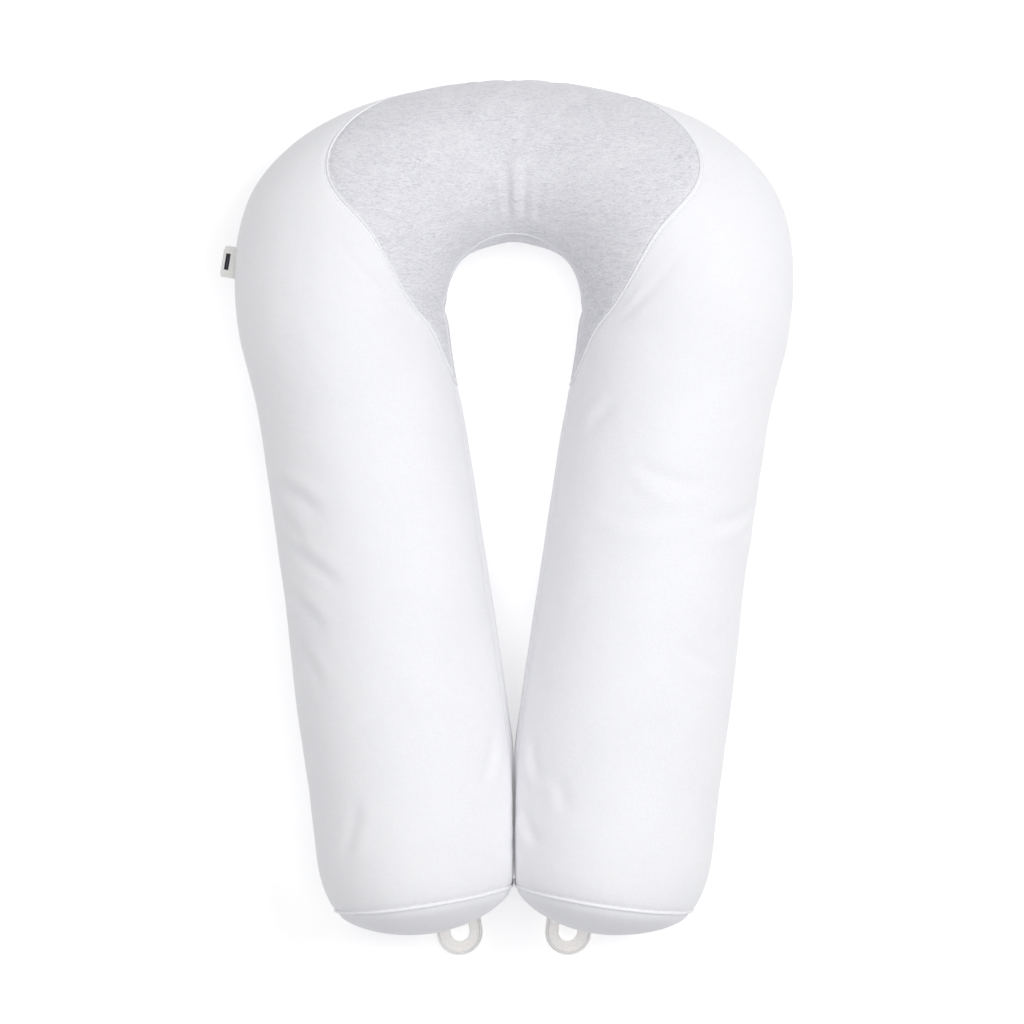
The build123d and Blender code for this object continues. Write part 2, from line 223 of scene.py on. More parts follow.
def skin():
    """Vertices, quads, the panel of each quad, and (s, phi, cap radius) of each vertex."""
    phi = np.arange(COLUMNS) * 2 * np.pi / COLUMNS
    seam = slanted_seam(phi)
    sleeve = bunched(SLEEVE_ROWS, SEAM_BUNCH)
    crown = bunched(CROWN_ROWS, CROWN_BUNCH)
    left = END + (seam - END) * sleeve
    middle = seam * (1 - 2 * crown)
    right = -(seam + (END - seam) * sleeve)
    s = np.concatenate([left, middle[1:], right[1:]])
    rows = len(s)
    points = tube_point(s, np.broadcast_to(phi, s.shape)).reshape(-1, 3)
    facts = np.stack([s.ravel(), np.tile(phi, rows), np.ones(s.size)], -1)
    quads, panels = [], []
    for i in range(rows - 1):
        panel = LEFT if i < SLEEVE_ROWS else CROWN if i < SLEEVE_ROWS + CROWN_ROWS else RIGHT
        for j in range(COLUMNS):
            k = (j + 1) % COLUMNS
            quads.append((i * COLUMNS + j, i * COLUMNS + k, (i + 1) * COLUMNS + k, (i + 1) * COLUMNS + j))
            panels.append(panel)
    radius, turn = cap_grid()
    for row, sign, panel in ((0, 1.0, CAP_LEFT), (rows - 1, -1.0, CAP_RIGHT)):
        ring = points[row * COLUMNS : (row + 1) * COLUMNS]
        centre = np.array([ring[:, 0].mean(), ring[:, 1].mean(), ring[:, 2].max() * CAP_MIDDLE])
        toe_in = math.radians(ARC_END)
        ahead = np.array([-math.cos(toe_in) * sign, -math.sin(toe_in), 0.0])
        number = {}
        extra, extra_facts = [], []
        for p in range(CAP_SIDE + 1):
            for q in range(CAP_SIDE + 1):
                place = turn[p, q] / (2 * np.pi) * COLUMNS
                if radius[p, q] == 1:
                    number[p, q] = row * COLUMNS + round(place) % COLUMNS
                    continue
                low = int(math.floor(place)) % COLUMNS
                share = place - math.floor(place)
                rim = ring[low] * (1 - share) + ring[(low + 1) % COLUMNS] * share
                r = math.sin(math.pi / 2 * radius[p, q]) ** 0.9
                number[p, q] = len(points) + len(extra)
                extra.append(centre + r * (rim - centre) + ahead * CAP_DEPTH * (1 - r * r) ** CAP_POINTED)
                extra_facts.append((sign * (END + 0.001), turn[p, q] % (2 * np.pi), r))
        for p in range(CAP_SIDE):
            for q in range(CAP_SIDE):
                quad = (number[p, q], number[p + 1, q], number[p + 1, q + 1], number[p, q + 1])
                quads.append(quad if sign < 0 else quad[::-1])
                panels.append(panel)
        points = np.concatenate([points, extra])
        facts = np.concatenate([facts, extra_facts])
    return points, np.array(quads), np.array(panels), facts


def new_mesh(name, points, faces):
    mesh = bpy.data.meshes.new(name)
    mesh.from_pydata([tuple(p) for p in points], [], [tuple(int(k) for k in f) for f in faces])
    mesh.update()
    obj = bpy.data.objects.new(name, mesh)
    bpy.context.scene.collection.objects.link(obj)
    return obj


def coords(obj):
    co = np.zeros(len(obj.data.vertices) * 3)
    obj.data.vertices.foreach_get("co", co)
    return co.reshape(-1, 3)


def vertex_normals(obj):
    out = np.zeros(len(obj.data.vertices) * 3)
    obj.data.vertex_normals.foreach_get("vector", out)
    return out.reshape(-1, 3)


# ---- cloth simulation ----
SIM_FRAMES = 16
PRESSURE = 4.0
MOST_MOVE = 0.010  # the stuffing holds the skin this near to its drawn place
SWELL_SHARE = 0.3
FOLD_SHARE = 0.25
WRINKLE_SHARE = 0.7
SWELL_ROUNDS = 80
FOLD_ROUNDS = 10
GIRTH_RADIUS = 0.083  # metres round the leg for each radian of phi


def bumpy(points, scale, seed):
    """Smooth noise about 0 at each point, with lumps 1/scale metres apart."""
    shift = Vector((seed * 7.3, seed * 3.1, seed * 5.7))
    return np.array([noise.noise(Vector(p) * scale + shift) for p in points])


def seam_distance(facts):
    """Metres along the tube from each point to the nearest cross seam."""
    along, phi = np.abs(facts[:, 0]), facts[:, 1]
    to_cap = np.where(facts[:, 2] < 1, 0.09 * (1 - facts[:, 2]), np.abs(END - along))
    return np.minimum(np.abs(along - slanted_seam(phi)), to_cap)


def hold(obj, name, weights):
    group = obj.vertex_groups.new(name=name)
    for k, w in enumerate(weights):
        group.add([k], float(w), "REPLACE")
    return group.name


def collide(obj):
    obj.modifiers.new("Collision", "COLLISION")
    obj.collision.thickness_outer = 0.001
    obj.collision.cloth_friction = 5
    obj.collision.use_culling = False


def inflate(obj, facts):
    """Runs the cloth simulation on the skin, and returns how far each point moved."""
    start = coords(obj).copy()
    floor = new_mesh("sim_floor", [(-1, -2, 0), (1, -2, 0), (1, 1, 0), (-1, 1, 0)], [(0, 1, 2, 3)])
    collide(floor)
    spare = 0.5 + 0.9 * bumpy(start, 9, 1) + 0.5 * bumpy(start, 22, 2)
    spare = np.clip(spare, 0, 1) * smoothstep(seam_distance(facts) / 0.03)
    cloth = obj.modifiers.new("Cloth", "CLOTH")
    cloth.settings.quality = 5
    cloth.settings.mass = 0.25
    cloth.settings.tension_stiffness = 25
    cloth.settings.compression_stiffness = 25
    cloth.settings.shear_stiffness = 12
    cloth.settings.bending_stiffness = 0.25
    cloth.settings.air_damping = 3
    cloth.settings.use_pressure = True
    cloth.settings.uniform_pressure_force = PRESSURE
    cloth.settings.vertex_group_shrink = hold(obj, "spare_cloth", spare)
    cloth.settings.shrink_min = 0.012
    cloth.settings.shrink_max = -0.045
    cloth.settings.effector_weights.gravity = 0.0
    cloth.collision_settings.use_collision = True
    cloth.collision_settings.distance_min = 0.001
    scene = bpy.context.scene
    cloth.point_cache.frame_start, cloth.point_cache.frame_end = 1, SIM_FRAMES
    for step in range(1, SIM_FRAMES + 1):
        scene.frame_set(step)
    graph = bpy.context.evaluated_depsgraph_get()
    moved = obj.evaluated_get(graph).to_mesh()
    end = np.zeros(len(start) * 3)
    moved.vertices.foreach_get("co", end)
    end = end.reshape(-1, 3)
    obj.modifiers.remove(cloth)
    obj.vertex_groups.clear()
    scene.frame_set(1)
    bpy.data.objects.remove(floor)
    return end - start


def smoothed(values, pairs, rounds):
    """values averaged with their neighbours' again and again. pairs are the mesh's edges."""
    count = np.bincount(pairs.ravel(), minlength=len(values))[:, None]
    for _ in range(rounds):
        near = np.zeros_like(values)
        np.add.at(near, pairs[:, 0], values[pairs[:, 1]])
        np.add.at(near, pairs[:, 1], values[pairs[:, 0]])
        values = 0.5 * values + 0.5 * near / count
    return values


def stuffed(obj, facts):
    """Points of the stuffed skin: the drawn shape, some of its swelling and all of its wrinkles."""
    start = coords(obj).copy()
    move = inflate(obj, facts)
    pairs = np.zeros(len(obj.data.edges) * 2, int)
    obj.data.edges.foreach_get("vertices", pairs)
    folds = smoothed(move, pairs.reshape(-1, 2), FOLD_ROUNDS)
    swell = smoothed(folds, pairs.reshape(-1, 2), SWELL_ROUNDS)
    move = SWELL_SHARE * swell + FOLD_SHARE * (folds - swell) + WRINKLE_SHARE * (move - folds)
    size = np.linalg.norm(move, axis=1, keepdims=True)
    move *= MOST_MOVE * np.tanh(size / MOST_MOVE) / np.maximum(size, 1e-9)
    return start + move * free_of_zip(facts)[:, None]


def zip_distance(facts):
    """Metres from the zipper's middle line."""
    across = (facts[:, 1] - ZIP_TURN + np.pi) % (2 * np.pi) - np.pi
    beyond = np.abs(facts[:, 0] - ZIP_MIDDLE) - ZIP_HALF
    return np.hypot(across * GIRTH_RADIUS, np.maximum(beyond, 0))


def free_of_zip(facts):
    """0 on the zipper and 1 away from it."""
    return grown(zip_distance(facts), *FREE_OF_ZIP)


# ---- folds worked into the simulated skin ----
# (side, s and phi in degrees where it starts, the same where it ends, bow in metres, depth)
CREASES = [
    (-1, 0.402, 112, 0.414, 60, 0.008, 0.0021),
    (-1, 0.418, 96, 0.424, 70, 0.004, 0.0010),
    (-1, 0.454, 66, 0.423, 6, 0.003, 0.0020),
    (-1, 0.452, 128, 0.450, 78, 0.005, 0.0012),
    (-1, 0.460, 38, 0.441, 0, 0.002, 0.0013),
    (-1, 0.560, 70, 0.585, 25, 0.006, 0.0009),
    (-1, 0.668, 150, 0.716, 136, 0.003, 0.0013),
    (-1, 0.700, 128, 0.742, 118, -0.003, 0.0009),
    (-1, 0.735, 152, 0.775, 132, 0.002, 0.0012),
    (-1, 0.350, 120, 0.385, 142, 0.004, 0.0008),
    (1, 0.400, 18, 0.448, 66, 0.006, 0.0018),
    (1, 0.424, 12, 0.474, 50, 0.005, 0.0014),
    (1, 0.452, 10, 0.520, 72, 0.008, 0.0018),
    (1, 0.500, 12, 0.556, 56, 0.006, 0.0016),
    (1, 0.540, 15, 0.610, 48, 0.005, 0.0012),
    (1, 0.600, 100, 0.640, 62, 0.006, 0.0008),
    (1, 0.700, 60, 0.770, 42, 0.004, 0.0010),
    (1, 0.660, 150, 0.720, 128, 0.004, 0.0010),
    (1, 0.0105, 84, 0.0115, 146, 0.001, 0.0017),
    (-1, 0.0125, 90, 0.0160, 144, 0.001, 0.0015),
    (1, 0.028, 102, 0.036, 146, 0.002, 0.0008),
    (-1, 0.034, 108, 0.046, 148, 0.002, 0.0007),
]
CREASE_WIDTH = 0.0065
CREASE_DEPTH = 1.45  # scales the depths above
RIDGE_SHARE = 0.6
LENGTHWISE_SEAM = math.radians(168)  # the sleeve's closing seam, on the inner wall
GATHER_STEP = 0.011
GATHER_DEPTH = 0.0006
GATHER_REACH = 0.011
SEAM_DIP, SEAM_DIP_REACH = 0.0012, 0.0035
LENGTHWISE_DIP, LENGTHWISE_REACH = 0.0014, 0.004
# (height in metres, lumps in a metre, seed) of the stuffing's slight lumps
LUMPS = ((0.0009, 11, 6), (0.0004, 30, 7))
LOWEST = 0.0004
TOUCH_ROUND = 0.0002


def crease(facts, side, s0, turn0, s1, turn1, bow, depth):
    """How far one soft fold moves each point: a valley with a low ridge along one side of it."""
    u, v = facts[:, 0] * side, facts[:, 1] * GIRTH_RADIUS
    a = np.array([s0, math.radians(turn0) * GIRTH_RADIUS])
    b = np.array([s1, math.radians(turn1) * GIRTH_RADIUS])
    along = (b - a) / np.linalg.norm(b - a)
    across = np.array([-along[1], along[0]])
    local_u, local_v = u - a[0], v - a[1]
    t = (local_u * along[0] + local_v * along[1]) / np.linalg.norm(b - a)
    off = local_u * across[0] + local_v * across[1] - bow * 4 * t * (1 - t)
    ends = smoothstep(t / 0.35) * smoothstep((1 - t) / 0.35)
    valley = bulge(off, 1, 0, CREASE_WIDTH)
    ridge = bulge(off, 1, 1.7 * CREASE_WIDTH, 1.2 * CREASE_WIDTH)
    return CREASE_DEPTH * depth * ends * (RIDGE_SHARE * ridge - valley)


def off_cap(facts):
    """True on the tube, and False inside a cap."""
    return facts[:, 2] >= 0.999


def gathers(facts, points):
    """Small puckers on the sleeve side of each end seam."""
    girth = facts[:, 1] * GIRTH_RADIUS
    wander = 0.6 * bumpy(points, 35, 4)
    back = END - np.abs(facts[:, 0])
    wave = np.sin(2 * np.pi * girth / GATHER_STEP + 9 * wander)
    strength = 0.5 + 0.9 * bumpy(points, 14, 5)
    reach = np.exp(-np.maximum(back, 0) / GATHER_REACH) * smoothstep(back / 0.003)
    return GATHER_DEPTH * wave * np.clip(strength, 0, 1.2) * reach * off_cap(facts)


def worked(points, normals, facts):
    """The fine skin with its folds, puckers, seam dips and the stuffing's slight lumps."""
    lift = np.zeros(len(points))
    for fold in CREASES:
        lift += crease(facts, *fold)
    lift += gathers(facts, points)
    lift -= bulge(seam_distance(facts), SEAM_DIP, 0, SEAM_DIP_REACH)
    on_sleeve = (np.abs(facts[:, 0]) > slanted_seam(facts[:, 1])) & off_cap(facts)
    across = np.abs(facts[:, 1] - LENGTHWISE_SEAM) * GIRTH_RADIUS
    lift -= bulge(across, LENGTHWISE_DIP, 0, LENGTHWISE_REACH) * on_sleeve
    lift += sum(height * bumpy(points, scale, seed) for height, scale, seed in LUMPS)
    lift *= free_of_zip(facts) * grown(points[:, 2], 0.001, 0.01)
    lift -= ZIP_RECESS * (1 - grown(zip_distance(facts), ZIP_SLOT, ZIP_LIP))
    moved = points + normals * lift[:, None]
    moved[:, 2] = np.maximum(moved[:, 2], LOWEST)
    foot = np.abs(facts[:, 0]) > ARC_LENGTH + LEGS_MEET[0]
    side = np.where(facts[:, 0] > 0, -1.0, 1.0)
    clear = LEG_GAP / 2 + soft_limit(moved[:, 0] * side - LEG_GAP / 2, TOUCH_ROUND)
    moved[:, 0] = np.where(foot, clear * side, moved[:, 0])
    return moved


def fine_skin():
    """(points, quads, facts, normals) of the finished skin, its panels, and the coarse skin."""
    points, quads, panels, facts = skin()
    obj = new_mesh("skin", points, quads)
    obj.data.vertices.foreach_set("co", stuffed(obj, facts).ravel())
    keep = {"s": facts[:, 0], "c": np.cos(facts[:, 1]), "n": np.sin(facts[:, 1]), "r": facts[:, 2]}
    for name, values in keep.items():
        obj.data.attributes.new(name, "FLOAT", "POINT").data.foreach_set("value", values)
    panel = obj.data.attributes.new("panel", "INT", "FACE")
    panel.data.foreach_set("value", panels.astype(np.int32))
    split = obj.modifiers.new("Subdivision", "SUBSURF")
    split.levels = 1
    mesh = bpy.data.meshes.new_from_object(obj.evaluated_get(bpy.context.evaluated_depsgraph_get()))
    coarse = (coords(obj).copy(), quads, facts, vertex_normals(obj).copy())
    bpy.data.objects.remove(obj)
    fine = bpy.data.objects.new("fine_skin", mesh)
    read = {}
    for name in keep:
        read[name] = np.zeros(len(mesh.vertices))
        mesh.attributes[name].data.foreach_get("value", read[name])
    phi = np.arctan2(read["n"], read["c"]) % (2 * np.pi)
    facts = np.stack([read["s"], phi, read["r"]], -1)
    panels = np.zeros(len(mesh.polygons), np.int32)
    mesh.attributes["panel"].data.foreach_get("value", panels)
    quads = np.zeros(len(mesh.loops), int)
    mesh.loops.foreach_get("vertex_index", quads)
    points = worked(coords(fine), vertex_normals(fine), facts)
    mesh.vertices.foreach_set("co", points.ravel())
    mesh.update()
    normals = vertex_normals(fine)
    bpy.data.objects.remove(fine)
    return (points, quads.reshape(-1, 4), facts, normals), panels, coarse


# ---- building pieces ----
COVER_THICK = 0.0008


def bend(piece):
    """Bakes the transform of a piece that crosses the shoulder into its mesh."""
    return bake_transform(piece)


def side_name(side):
    return "left" if side > 0 else "right"


def put_uv(mesh, name, values):
    layer = mesh.uv_layers.new(name=name)
    layer.data.foreach_set("uv", np.asarray(values, np.float32).ravel())


def unrolled(s, phi):
    """The skin opened out flat from the tube's top line, as a map for streaks across the panel."""
    half = np.abs(s)
    angle = np.radians(np.minimum(half / ARC_LENGTH, 1.0) * ARC_END)
    beyond = np.maximum(half - ARC_LENGTH, 0.0)
    under = phi.min(-1, keepdims=True) > 1.5 * np.pi
    out = ARCH_RADIUS + smooth_width(half) / 2 + GIRTH_RADIUS * (np.pi / 2 - phi + 2 * np.pi * under)
    x = -np.sin(angle) * out - np.cos(angle) * beyond
    y = ARCH_Y + np.cos(angle) * out - np.sin(angle) * beyond
    return np.stack([x * np.where(s >= 0, 1, -1), y], -1)


def open_edges(faces):
    """The edges of the quads that have no quad on their other side."""
    edges = np.concatenate([faces[:, [k, (k + 1) % 4]] for k in range(4)])
    both = {tuple(e) for e in edges}
    return np.array([e for e in edges if (e[1], e[0]) not in both]).reshape(-1, 2)


def solid_piece(name, source, chosen, inset):
    """The chosen quads moved inwards, with each open end closed by a fan: a solid stuffed body."""
    points, quads, _, normals = source
    used, local = np.unique(quads[chosen], return_inverse=True)
    faces = local.reshape(-1, 4)
    inner = points[used] - normals[used] * inset
    rim = open_edges(faces)
    middle = inner[rim[:, 0]].mean(0)
    every = [tuple(f) for f in faces] + [(b, a, len(inner)) for a, b in rim]
    obj = new_mesh(name, np.concatenate([inner, [middle]]), every)
    obj.data.polygons.foreach_set("use_smooth", np.arange(len(every)) < len(faces))
    return obj


def cloth_shell(name, source, chosen, thick=COVER_THICK, inset=0.0, facing=False):
    """A closed thin shell of the chosen quads of the skin, with its smooth normals and two UV maps.

    The maps run along and round the tube, or straight across the piece if it is facing the foot.
    """
    points, quads, facts, normals = source
    faces = quads[chosen]
    used, local = np.unique(faces, return_inverse=True)
    faces = local.reshape(-1, 4)
    count = len(used)
    outer = points[used] - normals[used] * inset
    inner = outer - normals[used] * thick
    inner[:, 2] = np.maximum(inner[:, 2], outer[:, 2].min() + 0.0002)
    rim = open_edges(faces)
    walls = np.stack([rim[:, 1], rim[:, 0], rim[:, 0] + count, rim[:, 1] + count], -1)
    every = np.concatenate([faces, faces[:, ::-1] + count, walls])
    obj = new_mesh(name, np.concatenate([outer, inner]), every)
    obj.data.polygons.foreach_set("use_smooth", np.ones(len(every), bool))
    flat = every.ravel()
    shade = np.concatenate([normals[used], -normals[used]])[flat]
    wall_loops = slice(8 * len(faces), None)
    rim_normals = np.zeros(len(every) * 3)
    obj.data.polygons.foreach_get("normal", rim_normals)
    shade[wall_loops] = np.repeat(rim_normals.reshape(-1, 3)[2 * len(faces) :], 4, axis=0)
    obj.data.normals_split_custom_set(shade.tolist())
    turn = np.concatenate([facts[used, 1]] * 2)[every]
    turn = turn + 2 * np.pi * (turn.max(1, keepdims=True) - turn > np.pi)
    along = np.concatenate([facts[used, 0]] * 2)[every]
    across = np.concatenate([outer, outer])[flat][:, [0, 2]]
    put_uv(obj.data, "cloth", across if facing else np.stack([along, turn * GIRTH_RADIUS], -1))
    put_uv(obj.data, "unrolled", unrolled(along, turn))
    return obj


def ring_between(skin_quads, panels, first, second, facts):
    """Vertex numbers along the seam between two panels, in order round the tube."""
    shared = np.intersect1d(skin_quads[panels == first], skin_quads[panels == second])
    side = LEFT if LEFT in (first, second) else RIGHT
    sign = 1 if side == LEFT else -1
    shared = shared[facts[shared, 0] * sign > 0]
    return shared[np.argsort(facts[shared, 1])]


def tube_faces(rows, sides, closed=False):
    """Quads between rows of points round a tube, and a face over each end unless it is closed."""
    faces = []
    for i in range(rows if closed else rows - 1):
        k = (i + 1) % rows
        for j in range(sides):
            m = (j + 1) % sides
            faces.append((i * sides + j, i * sides + m, k * sides + m, k * sides + j))
    if not closed:
        faces.append(tuple(range(sides))[::-1])
        faces.append(tuple((rows - 1) * sides + j for j in range(sides)))
    return faces


def sweep(name, path, ups, profile, closed=True):
    """A tube along path. profile is (across, up) in metres, and ups point up the profile."""
    path, ups = np.asarray(path, float), np.asarray(ups, float)
    count, sides = len(path), len(profile)
    if closed:
        ahead = np.roll(path, -1, 0) - np.roll(path, 1, 0)
    else:
        ahead = np.gradient(path, axis=0)
    ahead /= np.linalg.norm(ahead, axis=1, keepdims=True)
    across = np.cross(ahead, ups)
    across /= np.linalg.norm(across, axis=1, keepdims=True)
    ups = np.cross(across, ahead)
    points = (
        path[:, None]
        + across[:, None] * profile[None, :, 0, None]
        + ups[:, None] * profile[None, :, 1, None]
    ).reshape(-1, 3)
    faces = tube_faces(count, sides, closed)
    obj = new_mesh(name, points, faces)
    obj.data.polygons.foreach_set("use_smooth", np.ones(len(faces), bool))
    steps = np.linalg.norm(np.roll(path, -1, 0) - path, axis=1)
    length = np.concatenate([[0], np.cumsum(steps)])
    girth = np.linalg.norm(np.roll(profile, -1, 0) - profile, axis=1).sum()
    uv = []
    for i in range(count if closed else count - 1):
        for j in range(sides):
            low, high = j / sides * girth, (j + 1) / sides * girth
            uv += [(length[i], low), (length[i], high), (length[i + 1], high), (length[i + 1], low)]
    uv += [(0, 0)] * (0 if closed else 2 * sides)
    put_uv(obj.data, "cloth", uv)
    return obj


def round_profile(wide, high, sides=10):
    turn = np.arange(sides) * 2 * np.pi / sides
    return np.stack([wide * np.cos(turn), high * np.sin(turn)], -1)


def keep_clear(obj, side, lowest=0.0003):
    """Moves any point of a trim piece that reaches under the floor or into the other leg."""
    co = coords(obj)
    co[:, 2] = np.maximum(co[:, 2], lowest)
    co[:, 0] = np.minimum(co[:, 0] * side, -lowest) * side
    obj.data.vertices.foreach_set("co", co.ravel())
    obj.data.update()


class Surface:
    """The finished skin as something that trim can be laid on."""

    def __init__(self, points, quads):
        self.tree = BVHTree.FromPolygons([tuple(p) for p in points], [tuple(map(int, q)) for q in quads])

    def at(self, point):
        place, normal, _, _ = self.tree.find_nearest(Vector(point))
        return np.array(place), np.array(normal)

    def lay(self, path):
        found = [self.at(p) for p in path]
        return np.array([f[0] for f in found]), np.array([f[1] for f in found])


def resample(path, step, closed=True):
    """Points and directions at even steps along a path."""
    path = np.asarray(path)
    if closed:
        path = np.concatenate([path, path[:1]])
    length = np.concatenate([[0], np.cumsum(np.linalg.norm(np.diff(path, axis=0), axis=1))])
    at = np.arange(step / 2, length[-1], step)
    out = np.stack([np.interp(at, length, path[:, k]) for k in range(3)], -1)
    ahead = np.stack([np.interp(at + step / 4, length, path[:, k]) for k in range(3)], -1) - out
    return out, ahead / np.maximum(np.linalg.norm(ahead, axis=1, keepdims=True), 1e-9)


STITCH_STEP = 0.0037
STITCH = (0.0027, 0.0003, 0.00022)  # its length, and half its width and height
STITCH_LIFT = 0.0001


def beads(name, places, longs, ups, long, wide, high):
    """Small rounded bars, each at its place and pointing along its own direction."""
    rings = [(-0.5, 0.35), (-0.3, 0.9), (0.0, 1.0), (0.3, 0.9), (0.5, 0.35)]
    sides = 6
    turn = np.arange(sides) * 2 * np.pi / sides
    one = tube_faces(len(rings), sides)
    points, faces = [], []
    for place, direction, up in zip(places, longs, ups):
        across = np.cross(direction, up)
        across /= max(np.linalg.norm(across), 1e-9)
        base = len(points)
        for along, fat in rings:
            centre = place + direction * along * long
            for a in turn:
                points.append(centre + fat * (across * wide * math.cos(a) + up * high * math.sin(a)))
        faces += [tuple(base + k for k in face) for face in one]
    obj = new_mesh(name, points, faces)
    obj.data.polygons.foreach_set("use_smooth", np.ones(len(faces), bool))
    return obj


def stitches(name, path, surface, closed=True):
    """A run of short thread stitches lying on the surface along path."""
    middles, ahead = resample(path, STITCH_STEP, closed)
    places, ups = surface.lay(middles)
    return beads(name, places + ups * STITCH_LIFT, ahead, ups, *STITCH)


def beside(ring_points, facts, ring, offset):
    """A path that runs beside a seam, offset metres along the tube towards the foot."""
    s = facts[ring, 0]
    sign = np.sign(s)
    angle = np.minimum(np.abs(s) / ARC_LENGTH, 1) * math.radians(ARC_END)
    ahead = np.stack([-np.cos(angle) * sign, -np.sin(angle), np.zeros(len(s))], -1)
    return ring_points + ahead * offset


# ---- materials ----
def shade_nodes(name, rough, sheen=0.0):
    material = bpy.data.materials.new(name)
    material.use_nodes = True
    net = material.node_tree
    shader = net.nodes["Principled BSDF"]
    shader.inputs["Roughness"].default_value = rough
    shader.inputs["Sheen Weight"].default_value = sheen
    shader.inputs["Sheen Roughness"].default_value = 0.6
    return material, net, shader


def scaled_map(net, scale, uv):
    """Texture coordinates in metres, from a UV map or from the object, times scale."""
    if uv:
        source = net.nodes.new("ShaderNodeUVMap")
        source.uv_map = uv
        out = source.outputs["UV"]
    else:
        out = net.nodes.new("ShaderNodeTexCoord").outputs["Object"]
    mapping = net.nodes.new("ShaderNodeMapping")
    mapping.inputs["Scale"].default_value = scale
    net.links.new(out, mapping.inputs["Vector"])
    return mapping.outputs["Vector"]


def noise_node(net, scale, uv, detail=3.0, distortion=0.0):
    node = net.nodes.new("ShaderNodeTexNoise")
    node.inputs["Scale"].default_value = 1.0
    node.inputs["Detail"].default_value = detail
    node.inputs["Distortion"].default_value = distortion
    net.links.new(scaled_map(net, scale, uv), node.inputs["Vector"])
    return node.outputs["Fac"]


def tint(net, shader, fac, stops):
    """Base colour from fac, by stops of (place, colour)."""
    node = net.nodes.new("ShaderNodeValToRGB")
    while len(node.color_ramp.elements) < len(stops):
        node.color_ramp.elements.new(0.5)
    for element, (place, colour) in zip(node.color_ramp.elements, stops):
        element.position = place
        element.color = (*colour, 1)
    net.links.new(fac, node.inputs["Fac"])
    net.links.new(node.outputs["Color"], shader.inputs["Base Color"])


def math_node(net, operation, a, b=None, c=None):
    node = net.nodes.new("ShaderNodeMath")
    node.operation = operation
    for socket, value in zip(node.inputs, (a, b, c)):
        if isinstance(value, (int, float)):
            socket.default_value = value
        elif value is not None:
            net.links.new(value, socket)
    return node.outputs["Value"]


def weave_height(net, uv, pitch):
    """Over-and-under threads of a plain weave, as a height from 0 to 1."""
    vector = scaled_map(net, (math.pi / pitch,) * 3, uv)
    split = net.nodes.new("ShaderNodeSeparateXYZ")
    net.links.new(vector, split.inputs["Vector"])
    waves = [math_node(net, "SINE", split.outputs[k]) for k in ("X", "Y")]
    both = math_node(net, "MULTIPLY", waves[0], waves[1])
    return math_node(net, "MULTIPLY_ADD", both, 0.5, 0.5)


def bump(net, shader, layers):
    """layers are (height, strength, distance in metres), each laid over the one before."""
    before = None
    for height, strength, distance in layers:
        node = net.nodes.new("ShaderNodeBump")
        node.inputs["Strength"].default_value = strength
        node.inputs["Distance"].default_value = distance
        net.links.new(height, node.inputs["Height"])
        if before:
            net.links.new(before, node.inputs["Normal"])
        before = node.outputs["Normal"]
    net.links.new(before, shader.inputs["Normal"])


def woven(name, light, dark, pitch=0.0011, uv="cloth", rough=0.85, sheen=0.15, depth=0.00016):
    """Plain woven cotton: threads, slubs along both ways, and a faint uneven tone."""
    material, net, shader = shade_nodes(name, rough, sheen)
    slub = noise_node(net, (60, 1400, 60), uv, 2.0)
    cross = noise_node(net, (1400, 60, 60), uv, 2.0)
    threads = math_node(net, "MULTIPLY", math_node(net, "ADD", slub, cross), 0.5)
    tone = noise_node(net, (14, 14, 14), uv)
    mixed = math_node(net, "MULTIPLY", threads, 0.65)
    mixed = math_node(net, "MULTIPLY_ADD", tone, 0.35, mixed)
    tint(net, shader, mixed, [(0.36, dark), (0.60, light)])
    weave = weave_height(net, uv, pitch)
    crumple = noise_node(net, (55, 55, 55), uv, 4.0, 0.6)
    bump(net, shader, [(crumple, 0.35, 0.0012), (threads, 0.35, depth), (weave, 0.5, depth)])
    return material


def heather_jersey():
    """Pale grey melange jersey: short wavy streaks across the panel, fine loops and tiny flecks."""
    material, net, shader = shade_nodes("grey_jersey", 0.9, 0.2)
    wavy = noise_node(net, (120, 350, 1), "unrolled", 3.0, 2.0)
    flecks = noise_node(net, (420, 1100, 1), "unrolled", 2.0, 0.8)
    tone = noise_node(net, (16, 30, 1), "unrolled", 2.0)
    mixed = math_node(net, "MULTIPLY", flecks, 0.38)
    mixed = math_node(net, "MULTIPLY_ADD", tone, 0.12, mixed)
    mixed = math_node(net, "MULTIPLY_ADD", wavy, 0.50, mixed)
    tint(net, shader, mixed, [(0.34, JERSEY_DARK), (0.46, JERSEY_MIDDLE), (0.58, JERSEY_LIGHT)])
    loops = weave_height(net, "cloth", 0.0009)
    bump(net, shader, [(wavy, 0.5, 0.0007), (flecks, 0.4, 0.0002), (loops, 0.4, 0.00015)])
    return material


def ribbed(name, light, dark, pitch, uv=None, rough=0.7):
    """Woven tape or ribbon with ribs across it."""
    material, net, shader = shade_nodes(name, rough, 0.1)
    tone = noise_node(net, (700, 700, 700), uv)
    tint(net, shader, tone, [(0.35, dark), (0.65, light)])
    weave = weave_height(net, uv, pitch)
    bump(net, shader, [(tone, 0.3, 0.0001), (weave, 0.6, 0.00015)])
    return material


def moulded(name, colour, rough, metallic=0.0, grain=1800):
    """Moulded or cast surface with a fine uneven grain."""
    material, net, shader = shade_nodes(name, rough)
    shader.inputs["Metallic"].default_value = metallic
    fine = noise_node(net, (grain,) * 3, None)
    dark = tuple(c * 0.92 for c in colour)
    tint(net, shader, fine, [(0.3, dark), (0.7, colour)])
    bump(net, shader, [(fine, 0.2, 0.00005)])
    return material


